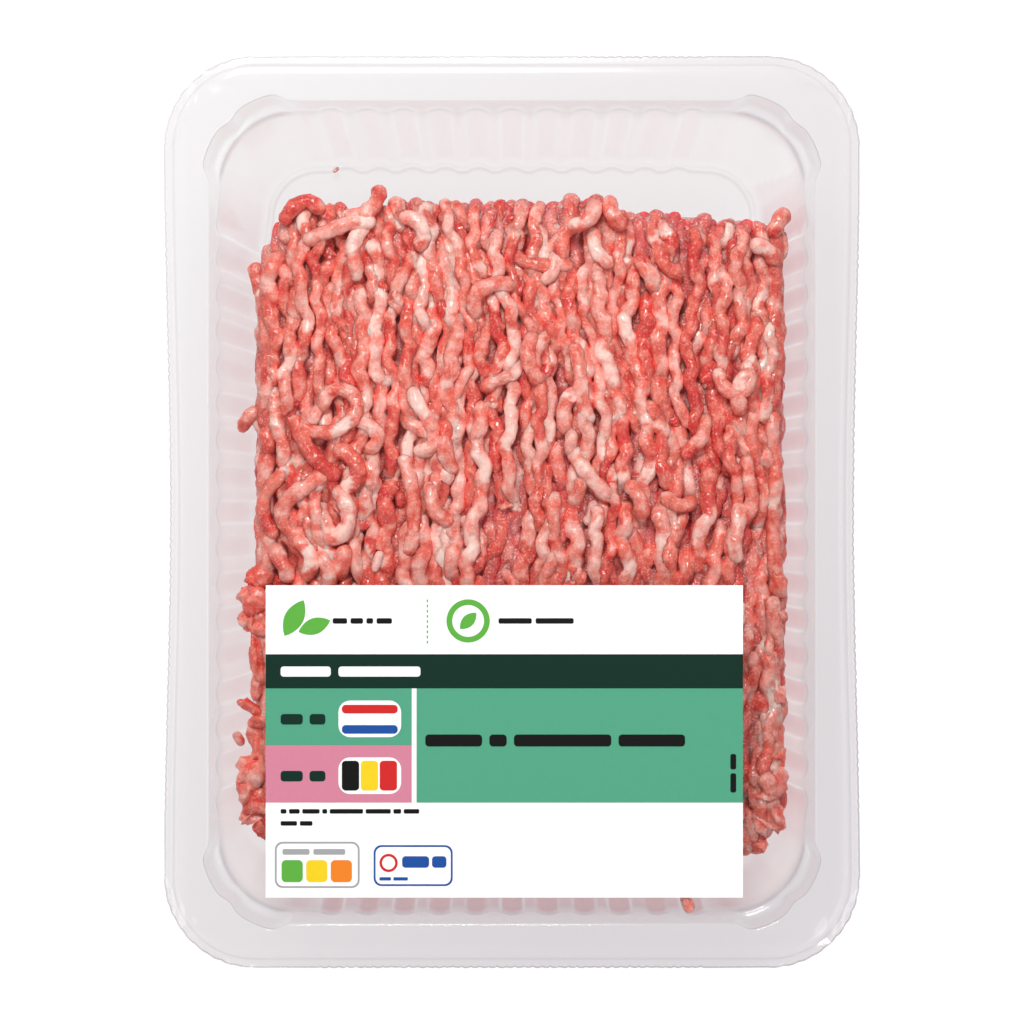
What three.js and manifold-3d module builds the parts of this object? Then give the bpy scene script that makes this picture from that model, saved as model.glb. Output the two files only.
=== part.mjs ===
// A sealed supermarket pack of minced meat: a clear thermoformed tray with fluted walls,
// a block of extruded mince in it, a clear lidding film sealed on the flange, and a paper
// label stuck on the film. Millimetres, +Z up, origin under the middle of the base,
// +Y towards the end of the tray that the label leaves free.
import * as THREE from "three";
import { mergeVertices } from "three/addons/utils/BufferGeometryUtils.js";
import Module from "manifold-3d";

const wasm = await Module();
wasm.setup();

// Driving sizes of the tray
const trayWidth = 145;
const trayLength = 190;
const trayHeight = 48;
const sheet = 0.7;
const edgeRadius = 19;
const sideBow = 1.2;
const flangeWidth = 9.5;
const lipWidth = 1.7;
const lipDrop = 1.4;
const stepRun = 0.8;
const wallDraft = 8;
const rimRadius = 17;
const footRadius = 12;
const footHeight = 3.6;
const footRun = 2.8;

// Flutes: half-round columns pressed outwards all along the four walls
const flutePitch = 7.6;
const fluteWidth = 5.6;
const fluteDepth = 0.9;
const flutesAcross = 11;
const flutesAlong = 17;

// Base panel, raised so that the tray stands on the border round it
const panelRise = 1.2;
const panelInset = 13;

// Two-lobed recess in the top of each corner, which keeps stacked empty trays apart
const recessReach = 1.6;
const recessDent = 0.8;
const recessDepth = 7;

// Film and label
const filmThickness = 0.25;
const filmTrim = 0.4;
const clearance = 0.05;
const labelWidth = 99;
const labelLength = 64.8;
const labelThickness = 0.2;
const labelPlace = { x: -1.6, y: -47.6 };

// Mince: a block of strands laid along Y
const strandRadius = 1.8;
const minceTop = 35;
const minceLeft = -54.8;
const minceRight = 58.4;
const minceFar = 68.7;
const minceNear = -76;
const minceCornerRadius = 16;
const minceGap = 0.5;
const strandColumns = 30;
const strandStations = 18;
const sideRows = 4;
const strandDrift = 1.6;
const furrow = 2;

const rimHalfWidth = trayWidth / 2 - flangeWidth;
const rimHalfLength = trayLength / 2 - flangeWidth;
const floorTop = panelRise + sheet;

// A repeatable number from 0 to 1 for each seed
const pick = (seed) => {
  const wave = Math.sin(seed * 127.1 + 311.7) * 43758.5453;
  return wave - Math.floor(wave);
};

// The same, from -1 to 1
const sway = (seed) => 2 * pick(seed) - 1;

// A closed geometry as a manifold solid
function solidOf(geometry) {
  const bare = new THREE.BufferGeometry();
  bare.setAttribute("position", geometry.getAttribute("position"));
  bare.setIndex(geometry.getIndex());
  const merged = mergeVertices(bare, 1e-4);
  return new wasm.Manifold(
    new wasm.Mesh({
      numProp: 3,
      vertProperties: new Float32Array(merged.getAttribute("position").array),
      triVerts: new Uint32Array(merged.getIndex().array),
    }),
  );
}

// A manifold solid as a geometry
function geometryOf(solid) {
  const mesh = solid.getMesh();
  const geometry = new THREE.BufferGeometry();
  const positions = new Float32Array(mesh.numVert * 3);
  for (let i = 0; i < mesh.numVert; i++)
    positions.set(mesh.vertProperties.subarray(i * mesh.numProp, i * mesh.numProp + 3), i * 3);
  geometry.setAttribute("position", new THREE.BufferAttribute(positions, 3));
  geometry.setIndex(new THREE.BufferAttribute(mesh.triVerts, 1));
  const flat = geometry.toNonIndexed();
  flat.computeVertexNormals();
  return flat;
}

// Flat outline points placed at a height, given as a number or as a function of x and y
function ring(points, height) {
  return points.map((p) => {
    const z = typeof height === "number" ? height : height(p.x, p.y);
    return new THREE.Vector3(p.x, p.y, z);
  });
}

// A closed solid through rings of equal count, lowest first, each anticlockwise from above
function loft(rings) {
  const count = rings[0].length;
  const positions = rings.flatMap((points) => points.flatMap((p) => p.toArray()));
  const index = [];
  for (let k = 0; k + 1 < rings.length; k++)
    for (let i = 0; i < count; i++) {
      const a = k * count + i;
      const b = k * count + ((i + 1) % count);
      index.push(a, b, b + count, a, b + count, a + count);
    }
  const top = (rings.length - 1) * count;
  for (const [a, b, c] of THREE.ShapeUtils.triangulateShape(rings[0], []))
    index.push(a, c, b);
  for (const [a, b, c] of THREE.ShapeUtils.triangulateShape(rings.at(-1), []))
    index.push(top + a, top + b, top + c);
  const geometry = new THREE.BufferGeometry();
  geometry.setAttribute("position", new THREE.Float32BufferAttribute(positions, 3));
  geometry.setIndex(index);
  return solidOf(geometry);
}

// Rounded rectangle, anticlockwise from the middle of the +X corner arc at -Y.
// sidePoints(side) gives the points between two corners, as [place along the side, push out].
function outline(halfX, halfY, radius, cornerSteps, sidePoints) {
  const centres = [
    { x: halfX - radius, y: radius - halfY, turn: -90 },
    { x: halfX - radius, y: halfY - radius, turn: 0 },
    { x: radius - halfX, y: halfY - radius, turn: 90 },
    { x: radius - halfX, y: radius - halfY, turn: 180 },
  ];
  const points = [];
  for (const [side, c] of centres.entries()) {
    for (let i = 0; i <= cornerSteps; i++) {
      const share = i / cornerSteps;
      const angle = THREE.MathUtils.degToRad(c.turn + 90 * share);
      points.push(new THREE.Vector2(c.x + radius * Math.cos(angle), c.y + radius * Math.sin(angle)));
    }
    const along = side % 2 === 0 ? new THREE.Vector2(0, 1) : new THREE.Vector2(-1, 0);
    if (side > 1) along.negate();
    const out = new THREE.Vector2(along.y, -along.x);
    const half = side % 2 === 0 ? halfX : halfY;
    for (const [place, push] of sidePoints(side))
      points.push(
        along.clone().multiplyScalar(place).addScaledVector(out, half + push),
      );
  }
  return points;
}

// The tub's section at one level: inset from the rim, with flutes pushed out by depth
function tubOutline(inset, radius, depth) {
  const flutes = (side) => {
    const count = side % 2 === 0 ? flutesAlong : flutesAcross;
    const places = [];
    for (let k = 0; k < count; k++) {
      const middle = (k - (count - 1) / 2) * flutePitch;
      for (const degrees of [0, 60, 120, 180]) {
        const angle = THREE.MathUtils.degToRad(degrees);
        places.push([middle - (fluteWidth / 2) * Math.cos(angle), depth * Math.sin(angle)]);
      }
    }
    return places;
  };
  return outline(rimHalfWidth - inset, rimHalfLength - inset, radius, 6, flutes);
}

// How far the wall leans in at a height, from none at the rim
const leanAt = (z) => (wallDraft * (trayHeight - z)) / trayHeight;

// Corner radius of the tub at a height
const tubRadiusAt = (z) => footRadius + ((rimRadius - footRadius) * z) / trayHeight;

// The tub as a solid block, from floor level up to top, grown inwards by skin
function tub(floor, top, skin) {
  const knee = floor + 1;
  const wallFoot = floor + footHeight;
  const level = (z, run, depth) =>
    ring(tubOutline(leanAt(z) + skin + run, tubRadiusAt(z) - skin - run, depth), z);
  return loft([
    level(floor, footRun, 0),
    level(knee, 0.25 * footRun, 0),
    level(wallFoot, 0, fluteDepth),
    level(top, 0, fluteDepth),
  ]);
}

// The flange's outline, whose long sides are drawn in by the tight film
function edgeOutline(inset) {
  const steps = 6;
  const halfX = trayWidth / 2 - inset;
  const halfY = trayLength / 2 - inset;
  const radius = edgeRadius - inset;
  const drawn = (side) => {
    const half = (side % 2 === 0 ? halfY : halfX) - radius;
    const places = [];
    for (let i = 1; i < steps; i++) {
      const place = half * ((2 * i) / steps - 1);
      const draw = side % 2 === 0 ? sideBow * Math.cos((Math.PI / 2) * (place / half)) ** 2 : 0;
      places.push([place, -draw]);
    }
    return places;
  };
  return outline(halfX, halfY, radius, 8, drawn);
}

// The flat sealing land, the step down beside it and the thin outer lip
function flange() {
  const lipTop = trayHeight - lipDrop;
  const lipUnder = lipTop - sheet;
  const land = lipWidth + stepRun;
  const plate = loft([
    ring(edgeOutline(0), lipUnder),
    ring(edgeOutline(0), lipTop),
    ring(edgeOutline(lipWidth), lipTop),
    ring(edgeOutline(land), trayHeight),
  ]);
  const underside = loft([
    ring(edgeOutline(lipWidth + sheet), lipUnder - 1),
    ring(edgeOutline(lipWidth + sheet), lipUnder),
    ring(edgeOutline(land + sheet), trayHeight - sheet),
  ]);
  return plate.subtract(underside);
}

// The recess in one corner, as the block that it fills, grown outwards by skin
function cornerRecess(corner, floor, top, skin) {
  const steps = 12;
  const middle = new THREE.Vector2(rimHalfWidth - rimRadius, rimHalfLength - rimRadius);
  const points = [new THREE.Vector2(middle.x, middle.y)];
  for (let i = 0; i <= steps; i++) {
    const share = i / steps;
    const rise = Math.min(1, 6 * share, 6 * (1 - share));
    const dent = recessDent * Math.exp(-(((share - 0.5) / 0.09) ** 2));
    const reach = rimRadius + skin - 0.6 + (recessReach + 0.6) * rise - dent;
    const angle = (Math.PI / 2) * share;
    points.push(
      new THREE.Vector2(middle.x + reach * Math.cos(angle), middle.y + reach * Math.sin(angle)),
    );
  }
  const mirrored = corner.x * corner.y < 0;
  const placed = points.map((p) => new THREE.Vector2(p.x * corner.x, p.y * corner.y));
  if (mirrored) placed.reverse();
  return loft([ring(placed, floor), ring(placed, top)]);
}

function traySolid() {
  const ledge = trayHeight - recessDepth;
  const corners = [-1, 1].flatMap((x) => [-1, 1].map((y) => ({ x, y })));
  let shell = flange().add(tub(0, trayHeight - sheet / 2, 0));
  let hollow = tub(sheet, trayHeight + 1, sheet);
  for (const corner of corners) {
    shell = shell.add(cornerRecess(corner, ledge - sheet, trayHeight - sheet / 2, sheet));
    hollow = hollow.add(cornerRecess(corner, ledge, trayHeight + 1, 0));
  }
  const panel = (grow, low, high) => {
    const halfX = rimHalfWidth - wallDraft - panelInset + grow;
    const halfY = rimHalfLength - wallDraft - panelInset + grow;
    const points = outline(halfX, halfY, 8 + grow, 5, () => []);
    return loft([ring(points, low), ring(points, high)]);
  };
  hollow = hollow.subtract(panel(sheet, 0, floorTop));
  return shell.subtract(hollow).subtract(panel(0, -1, panelRise));
}

function filmSolid() {
  const low = trayHeight + clearance;
  const points = edgeOutline(filmTrim);
  return loft([ring(points, low), ring(points, low + filmThickness)]);
}

// Height of the mince's top surface, from a few broad swells
function minceHeight(x, y) {
  const u = (2 * x - minceLeft - minceRight) / (minceRight - minceLeft);
  const v = (2 * y - minceFar - minceNear) / (minceFar - minceNear);
  const edge = Math.max(0, Math.abs(u) - 0.75) / 0.25;
  const end = Math.max(0, Math.abs(v) - 0.88) / 0.12;
  const tangle = Math.exp(-(((x + 38) / 12) ** 2 + ((y - 6) / 20) ** 2));
  const swell = 0.9 * Math.sin(2.6 * u + 1.1) * Math.cos(3.1 * v + 0.4);
  return minceTop - 1.5 + swell + 1.4 * tangle - 3.4 * edge ** 2 - 2 * end ** 2;
}

// A capsule bent along a curve: one strand with round ends
function strand(points, radius, steps, sides = 6) {
  const curve = new THREE.CatmullRomCurve3(points);
  const length = curve.getLength();
  const geometry = new THREE.CapsuleGeometry(radius, length, 2, sides, steps);
  const position = geometry.getAttribute("position");
  const up = new THREE.Vector3(0, 0, 1);
  for (let i = 0; i < position.count; i++) {
    const along = position.getY(i) + length / 2;
    const share = THREE.MathUtils.clamp(along / length, 0, 1);
    const tangent = curve.getTangentAt(share);
    const side = new THREE.Vector3().crossVectors(tangent, up).normalize();
    const normal = new THREE.Vector3().crossVectors(side, tangent);
    const place = curve
      .getPointAt(share)
      .addScaledVector(side, position.getX(i))
      .addScaledVector(normal, position.getZ(i))
      .addScaledVector(tangent, along - share * length);
    position.setXYZ(i, place.x, place.y, place.z);
  }
  return solidOf(geometry);
}

// How far out the mince may lie at a height before it meets the tray's long wall
function roomAt(z) {
  const foot = Math.max(0, floorTop + footHeight - z);
  return rimHalfWidth - leanAt(z) - sheet - minceGap - 0.9 * foot;
}

// Where one strand column starts and ends along Y, shorter at the block's round corners
function columnSpan(x, seed) {
  const edge = Math.min(x - minceLeft, minceRight - x);
  const into = THREE.MathUtils.clamp(1 - edge / minceCornerRadius, 0, 1);
  const cut = minceCornerRadius * (1 - Math.sqrt(1 - into ** 2));
  const far = minceFar - 0.35 * cut - 3.2 * pick(seed + 3);
  const near = minceNear + cut + 3.2 * pick(seed + 4);
  return { far, near };
}

// One cross section of the block: down-left, up the right side in rows, back over the
// strand columns and down the left side. Its points stand at different places along Y,
// because each column has its own length.
function heapSection(station) {
  const share = 0.5 - 0.5 * Math.cos((Math.PI * station) / strandStations);
  const atEnd = station === 0 || station === strandStations;
  const pitch = (minceRight - minceLeft) / strandColumns;
  const bottom = floorTop + clearance;
  const points = [];
  const put = (x, y, z) => points.push(new THREE.Vector3(x, z, -y));
  const columnAt = (column) => {
    const x = minceLeft + pitch * (column + 0.5);
    const { far, near } = columnSpan(x, 10 * column);
    const y = far + (near - far) * share;
    const seed = 31 * column + 7 * station;
    const broken = station === 3 + Math.floor((strandStations - 6) * pick(column + 0.5));
    const dip = atEnd || broken ? 1.9 : 0;
    const inside = Math.min(1, (x - minceLeft) / 12, (minceRight - x) / 12) - 0.15;
    const wander = Math.max(0, inside) * (0.65 * sway(seed) + strandDrift * Math.sin(0.075 * y + 0.04 * x));
    return { x: x + wander, y, z: minceHeight(x, y) + 0.7 * sway(seed + 1) - dip };
  };
  const sideAt = (side, row, part) => {
    const edge = columnAt(side < 0 ? 0 : strandColumns - 1);
    const rowHeight = (edge.z - 1.6 - bottom) / sideRows;
    const z = bottom + rowHeight * (row + part);
    const inward = part === 1 ? 1.1 : 0.4 * pick(51 * row + 3 * station + side);
    const out = Math.min(side < 0 ? -minceLeft : minceRight, roomAt(z));
    put(side * (out - inward - 0.07 * Math.max(0, z - 22)), edge.y, z);
  };
  put(-roomAt(bottom) + 1, columnAt(0).y, bottom);
  put(roomAt(bottom) - 1, columnAt(strandColumns - 1).y, bottom);
  for (let row = 0; row < sideRows; row++) for (const part of [0.2, 0.75, 1]) sideAt(1, row, part);
  for (let column = strandColumns - 1; column >= 0; column--) {
    const { x, y, z } = columnAt(column);
    put(x + 0.3 * pitch, y, z - 0.4);
    put(x, y, z);
    put(x - 0.3 * pitch, y, z - 0.4);
    if (column > 0) {
      const next = columnAt(column - 1);
      put((x + next.x) / 2, (y + next.y) / 2, Math.min(z, next.z) - furrow);
    }
  }
  for (let row = sideRows - 1; row >= 0; row--) for (const part of [1, 0.75, 0.2]) sideAt(-1, row, part);
  return points;
}

function heapBlock() {
  const sections = [];
  for (let station = 0; station <= strandStations; station++) sections.push(heapSection(station));
  return loft(sections).rotate([90, 0, 0]);
}

// Curled strands that lie on top. Each is its start, heading in degrees, length, whole turn
// in degrees, and how late along its length it turns.
const curls = [
  [-40, 14, 10, 19, 330, 1],
  [-26, 4, 20, 11, 200, 1],
  [-47, 20, -75, 17, 30, 2],
  [-33, -6, 0, 13, -170, 1],
  [-41, -13, 190, 17, 160, 1],
  [-30, -22, -30, 16, -190, 1],
  [-47, 54, 35, 19, -30, 1],
  [-2, 36, -80, 16, -190, 3],
  [4, 48, 200, 14, 160, 1],
  [44, 26, 80, 17, -250, 1],
  [23, 8, -40, 14, -50, 1],
  [45, 13, -120, 12, -100, 2],
  [54, 70, -100, 9, 30, 1],
];

function curledStrands() {
  return curls.map(([x, y, heading, length, turn, late], n) => {
    const steps = Math.max(3, Math.round(length / 3.6));
    const points = [];
    const place = new THREE.Vector2(x, y);
    for (let i = 0; i <= steps; i++) {
      const share = i / steps;
      const lift = 0.7 + Math.sin(Math.PI * share) - (i === 0 ? 0.9 : 0) + 0.3 * sway(n + 70);
      points.push(new THREE.Vector3(place.x, place.y, minceHeight(place.x, place.y) + lift));
      const angle = THREE.MathUtils.degToRad(heading + turn * (share + 0.5 / steps) ** late);
      place.add(new THREE.Vector2(Math.cos(angle), Math.sin(angle)).multiplyScalar(length / steps));
    }
    return strand(points, strandRadius, steps);
  });
}

function minceSolid() {
  let heap = heapBlock();
  for (const piece of curledStrands()) heap = heap.add(piece);
  return heap;
}

function named(name, geometry, look) {
  const mesh = new THREE.Mesh(geometry, new THREE.MeshStandardMaterial(look));
  mesh.name = name;
  return mesh;
}

const pack = new THREE.Group();
pack.add(
  named("tray", geometryOf(traySolid()), {
    color: 0xeef0f0,
    roughness: 0.08,
    metalness: 0,
    transparent: true,
    opacity: 0.3,
  }),
);
pack.add(named("mince", geometryOf(minceSolid()), { color: 0xdf8072, roughness: 0.35, metalness: 0 }));
pack.add(
  named("film", geometryOf(filmSolid()), {
    color: 0xffffff,
    roughness: 0.05,
    metalness: 0,
    transparent: true,
    opacity: 0.12,
  }),
);
const label = named("label", new THREE.BoxGeometry(labelWidth, labelLength, labelThickness), {
  color: 0xfdfdfd,
  roughness: 0.5,
  metalness: 0,
});
label.position.set(
  labelPlace.x,
  labelPlace.y,
  trayHeight + filmThickness + 2 * clearance + labelThickness / 2,
);
pack.add(label);

export default pack;
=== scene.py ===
"""Looks of a sealed tray of minced meat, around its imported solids: the fluted clear tray, the
lidding film, the printed label and the mince in strands. Metres, in the frame of the solids."""

import bpy
import numpy as np
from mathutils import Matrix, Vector


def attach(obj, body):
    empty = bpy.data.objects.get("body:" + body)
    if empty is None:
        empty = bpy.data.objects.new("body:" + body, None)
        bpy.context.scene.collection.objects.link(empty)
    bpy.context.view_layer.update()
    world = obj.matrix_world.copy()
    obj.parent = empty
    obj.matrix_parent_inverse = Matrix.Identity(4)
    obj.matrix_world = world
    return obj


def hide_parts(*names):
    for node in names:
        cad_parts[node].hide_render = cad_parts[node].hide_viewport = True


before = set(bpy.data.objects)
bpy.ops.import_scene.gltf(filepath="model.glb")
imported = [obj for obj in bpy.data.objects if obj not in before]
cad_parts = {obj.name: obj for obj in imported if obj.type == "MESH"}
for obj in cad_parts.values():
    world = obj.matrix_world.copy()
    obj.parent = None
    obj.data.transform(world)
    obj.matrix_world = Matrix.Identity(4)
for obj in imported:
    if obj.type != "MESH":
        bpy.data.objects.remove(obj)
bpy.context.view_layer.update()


# Camera straight above the pack, as in the photograph. It looks from 650 mm over the film at a
# field 212.6 mm wide there.
camera_height, film_height, field_width = 0.65, 0.048, 0.2126
camera_data = bpy.data.cameras.new("camera")
camera_data.sensor_width = 36
camera_data.lens = camera_data.sensor_width * camera_height / field_width
camera = bpy.data.objects.new("camera", camera_data)
camera.location = (0, 0, film_height + camera_height)
bpy.context.collection.objects.link(camera)
bpy.context.scene.camera = camera


# Soft studio light: a pale world that is dim overhead, so that the film mirrors little of it, a
# small bright panel over the far side, and two wide weak panels at the right and the left
scene = bpy.context.scene
scene.view_settings.view_transform = "Standard"
world = bpy.data.worlds.new("studio")
world.use_nodes = True
sky = world.node_tree.nodes["Background"]
sky.inputs["Color"].default_value = (0.97, 0.985, 1.0, 1)
direction = world.node_tree.nodes.new("ShaderNodeTexCoord")
height = world.node_tree.nodes.new("ShaderNodeSeparateXYZ")
dimming = world.node_tree.nodes.new("ShaderNodeMapRange")
for socket, value in (("From Min", 0.8), ("From Max", 0.97), ("To Min", 0.26), ("To Max", 0.04)):
    dimming.inputs[socket].default_value = value
world.node_tree.links.new(direction.outputs["Generated"], height.inputs["Vector"])
world.node_tree.links.new(height.outputs["Z"], dimming.inputs["Value"])
world.node_tree.links.new(dimming.outputs["Result"], sky.inputs["Strength"])
scene.world = world


def panel_light(name, place, size, watts, colour):
    """An area light at place that faces the middle of the pack."""
    light = bpy.data.lights.new(name, "AREA")
    light.shape = "RECTANGLE"
    light.size, light.size_y = size
    light.energy = watts
    light.color = colour
    lamp = bpy.data.objects.new(name, light)
    lamp.location = place
    lamp.rotation_mode = "QUATERNION"
    lamp.rotation_quaternion = (-Vector(place)).to_track_quat("-Z", "Y")
    bpy.context.collection.objects.link(lamp)


panel_light("key", (-0.08, 0.45, 0.72), (0.24, 0.24), 5.8, (1.0, 0.985, 0.96))
panel_light("fill", (0.55, -0.2, 0.7), (0.6, 0.6), 3.4, (0.97, 0.98, 1.0))
panel_light("low", (-0.6, -0.15, 0.6), (0.5, 0.5), 2.0, (0.98, 0.99, 1.0))


# White floor: a plain sheet lit from below, so that it stays white right up to the pack and
# shines through the clear plastic
floor_mesh = bpy.data.meshes.new("floor")
floor_mesh.from_pydata([(-3, -3, 0), (3, -3, 0), (3, 3, 0), (-3, 3, 0)], [], [(0, 1, 2, 3)])
floor = bpy.data.objects.new("floor", floor_mesh)
bpy.context.collection.objects.link(floor)
floor_look = bpy.data.materials.new("floor")
floor_look.use_nodes = True
sheet = floor_look.node_tree.nodes["Principled BSDF"]
sheet.inputs["Base Color"].default_value = (0.14, 0.14, 0.14, 1)
sheet.inputs["Roughness"].default_value = 0.9
sheet.inputs["Emission Color"].default_value = (1, 1, 1, 1)
sheet.inputs["Emission Strength"].default_value = 0.92
floor_look.cycles.emission_sampling = "NONE"
floor_mesh.materials.append(floor_look)


# Clear tray: one fine sheet of plastic, vacuum formed from the raised base panel out over the
# fluted walls and the corner recesses to the flange and its cut lip. Sizes are in millimetres
# and those of the solid tray.
flute_pitch, flute_width, flute_depth = 7.6, 5.6, 0.95
full_run_x, full_run_y = 42.5, 67.5
rim_x, rim_y = 63.0, 85.5
tray_x, tray_y = 72.5, 95.0
tray_tall, wall_lean = 48.0, 8.0


def quad_piece(name, points, quads, look, replaces=None, numbers=None):
    """A smooth mesh from points in millimetres and quads, with named numbers at its points."""
    mesh = bpy.data.meshes.new(name)
    points = np.asarray(points, dtype=np.float32) * 0.001
    quads = np.asarray(quads, dtype=np.int32)
    mesh.vertices.add(len(points))
    mesh.vertices.foreach_set("co", points.ravel())
    mesh.loops.add(quads.size)
    mesh.loops.foreach_set("vertex_index", quads.ravel())
    mesh.polygons.add(len(quads))
    mesh.polygons.foreach_set("loop_start", np.arange(0, quads.size, 4, dtype=np.int32))
    mesh.polygons.foreach_set("use_smooth", np.ones(len(quads), dtype=bool))
    for key, values in (numbers or {}).items():
        mesh.attributes.new(key, "FLOAT", "POINT").data.foreach_set(
            "value", np.asarray(values, dtype=np.float32)
        )
    mesh.update(calc_edges=True)
    mesh.validate()
    mesh.materials.append(look)
    piece = bpy.data.objects.new(name, mesh)
    bpy.context.collection.objects.link(piece)
    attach(piece, "root")
    if replaces:
        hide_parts(replaces)


def feed(tree, node, inputs):
    """Give a shader node its inputs, each a constant or another node's output."""
    for key, value in inputs.items():
        if isinstance(value, bpy.types.NodeSocket):
            tree.links.new(value, node.inputs[key])
        else:
            node.inputs[key].default_value = value


def add_node(tree, kind, inputs, **settings):
    """A shader node of one kind, with its settings and its inputs."""
    node = tree.nodes.new("ShaderNode" + kind)
    for key, value in settings.items():
        setattr(node, key, value)
    feed(tree, node, inputs)
    return node


def mixed(tree, factor, a, b, blend="MIX"):
    """Colour b over colour a by a factor, in one way of blending."""
    inputs = {"Factor": factor, "A": a, "B": b}
    return add_node(tree, "Mix", inputs, data_type="RGBA", blend_type=blend).outputs["Result"]


def number_at(tree, key):
    """The number of that name which a piece carries at its points."""
    return add_node(tree, "Attribute", {}, attribute_name=key).outputs["Fac"]


def clear_look(name, tint, thick_and_shade_tint, haze, gloss, roughness):
    """Clear sheet plastic, which light crosses unbent.

    It takes tint, or the other tint where the sheet is thick or painted with shade, times the
    painted pink reflection and the painted shade lines given at its points, and times a grey where
    it is seen along its face. A share haze of it is white, and a mirror layer on top has the share
    min(fresnel, gloss), less where the sheet is dull."""
    look = bpy.data.materials.new(name)
    look.use_nodes = True
    tree = look.node_tree
    tree.nodes.clear()
    # Painted shade rides on the thick tint, along with the real thickness
    tone = mixed(tree, number_at(tree, "thick_and_painted_shade"), (*tint, 1), (*thick_and_shade_tint, 1))
    # Painted pink reflection of the meat, then painted shade lines at the folds
    for key, colour in (("painted_meat_reflection", (0.88, 0.69, 0.7)), ("painted_fold_shade", (0.72, 0.7, 0.72))):
        tone = mixed(tree, number_at(tree, key), tone, (*colour, 1), "MULTIPLY")
    facing = add_node(tree, "LayerWeight", {"Blend": 0.5})
    edge_on = add_node(tree, "ValToRGB", {"Fac": facing.outputs["Facing"]})
    edge_on.color_ramp.elements[0].color = (1, 1, 1, 1)
    edge_on.color_ramp.elements[1].color = (0.74, 0.74, 0.75, 1)
    edge_on.color_ramp.elements.new(0.88).color = (1, 1, 1, 1)
    tone = mixed(tree, 1, tone, edge_on.outputs["Color"], "MULTIPLY")
    through = add_node(tree, "BsdfTransparent", {"Color": tone}).outputs["BSDF"]
    milk = add_node(tree, "BsdfDiffuse", {"Color": (0.95, 0.95, 0.95, 1)}).outputs["BSDF"]
    body = add_node(tree, "MixShader", {"Fac": haze, 1: through, 2: milk}).outputs["Shader"]
    fresnel = add_node(tree, "Fresnel", {"IOR": 1.45}).outputs["Fac"]
    less_where_dull = {0: number_at(tree, "dull"), 1: -0.85 * gloss, 2: gloss}
    most = add_node(tree, "Math", less_where_dull, operation="MULTIPLY_ADD").outputs["Value"]
    share = add_node(tree, "Math", {0: fresnel, 1: most}, operation="MINIMUM").outputs["Value"]
    shine = add_node(tree, "BsdfGlossy", {"Roughness": roughness}).outputs["BSDF"]
    whole = add_node(tree, "MixShader", {"Fac": share, 1: body, 2: shine}).outputs["Shader"]
    add_node(tree, "OutputMaterial", {"Surface": whole})
    return look


def smooth(share):
    """An even step from 0 to 1: three times the square less twice the cube."""
    return share * share * (3 - 2 * share)


def tray_outline(half_x, half_y, radius, push=0.0, corner_push=0.0, bow=0.0, spread=1.0):
    """Points round a rounded rectangle, anticlockwise from the -Y corner on the +X side, and
    each point's share of a flute and of a corner recess.

    There are 17 flutes on a long side and 11 on a short one, each a cosine's hump to the power
    0.8, push deep. The corner recess has two lobes: a smooth step at each end less a bell curve
    in the middle, corner_push deep. bow is how far the long sides are drawn in, as a squared
    cosine, and spread stretches the points along the sides."""
    points, shares = [], []
    for side in range(4):
        corner = np.array([(1, -1), (1, 1), (-1, 1), (-1, -1)][side])
        share = np.linspace(0, 1, 29)[:, None]
        angle = np.radians(90 * (side - 1 + share))
        lobes = np.clip(7 * np.minimum(share, 1 - share), 0, 1)
        lobes = smooth(lobes) - 0.45 * np.exp(-(((share - 0.5) / 0.07) ** 2))
        reach = radius + corner_push * lobes
        centre = corner * (np.array([half_x, half_y]) - radius)
        points.append(centre + reach * np.concatenate([np.cos(angle), np.sin(angle)], 1))
        count, straight, half = (17, half_y, half_x) if side % 2 == 0 else (11, half_x, half_y)
        place = np.linspace(-0.5, 0.5, 12 * count + 1)[:, None] * count * flute_pitch * 0.97
        turn = (place + count * flute_pitch / 2) % flute_pitch - flute_pitch / 2
        flute = np.cos(np.pi / 2 * np.clip(turn / (flute_width / 2), -1, 1)) ** 0.8
        shares.append(np.concatenate([0 * share, lobes], 1))
        shares.append(np.concatenate([flute, 0 * flute], 1))
        draw = bow * np.cos(np.pi / 2 * np.clip(place * spread / (straight - radius), -1, 1)) ** 2
        along = np.array([(0, 1), (-1, 0), (0, -1), (1, 0)][side])
        out = np.array([(1, 0), (0, 1), (-1, 0), (0, -1)][side])
        if side % 2:
            draw = 0 * draw
        points.append(place * spread * along + (half + push * flute - draw) * out)
    return np.concatenate(points), np.concatenate(shares)


def wall_inset(z):
    """How far the leaning wall stands in from the rim at a height."""
    return wall_lean * (1 - z / tray_tall)


def tub_ring(inset, z, push=0.0, corner_push=0.0):
    """The tub's section, inset from the rim. Its corner radius grows from 12 at the foot to 17
    at the rim, and shrinks by as much as the section lies inside the wall. The flutes draw
    together where a side is shorter than their full run."""
    radius = 12 + 5 * z / tray_tall - max(0, inset - wall_inset(z))
    spread = min(1.0, (rim_y - inset - radius) / full_run_y, (rim_x - inset - radius) / full_run_x)
    outline, shares = tray_outline(rim_x - inset, rim_y - inset, radius, push, corner_push, 0, spread)
    return np.column_stack([outline, np.full(len(outline), z), shares])


def flange_ring(inset, z):
    """The flange's outline, inset from the tray's edge."""
    outline, shares = tray_outline(tray_x - inset, tray_y - inset, 19 - inset, bow=1.2)
    return np.column_stack([outline, np.full(len(outline), z), shares])


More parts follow.
